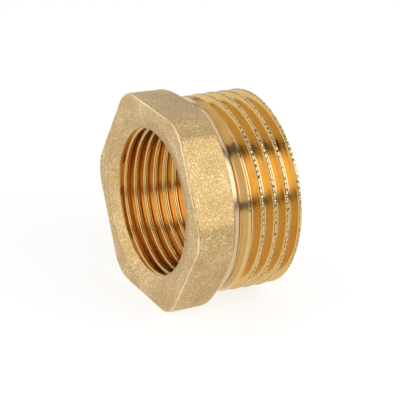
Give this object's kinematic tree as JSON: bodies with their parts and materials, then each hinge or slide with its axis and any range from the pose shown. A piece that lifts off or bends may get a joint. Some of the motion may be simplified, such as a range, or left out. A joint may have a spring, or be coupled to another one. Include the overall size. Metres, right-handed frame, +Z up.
{
  "type": "hex bushing",
  "caption": "Brass hex reducing bushing, G1 male by G3/4 female: a forged hexagon with rounded corners and a shallow dish round its bore, a machined collar, and a straight male pipe thread.",
  "frame": {"origin": "on the ground, below the middle of the bushing's length, with one flat of the hexagon on the ground", "axes": "+X along the thread axis from the hexagon's face to the end of the male thread, +Z up through the middle of a flat"},
  "size_m": [0.0198, 0.0368, 0.0333],
  "materials": {
    "brass": "blasted forging with machined threads"
  },
  "bodies": {
    "root": {"hex_bushing": "brass"}
  },
  "joints": []
}
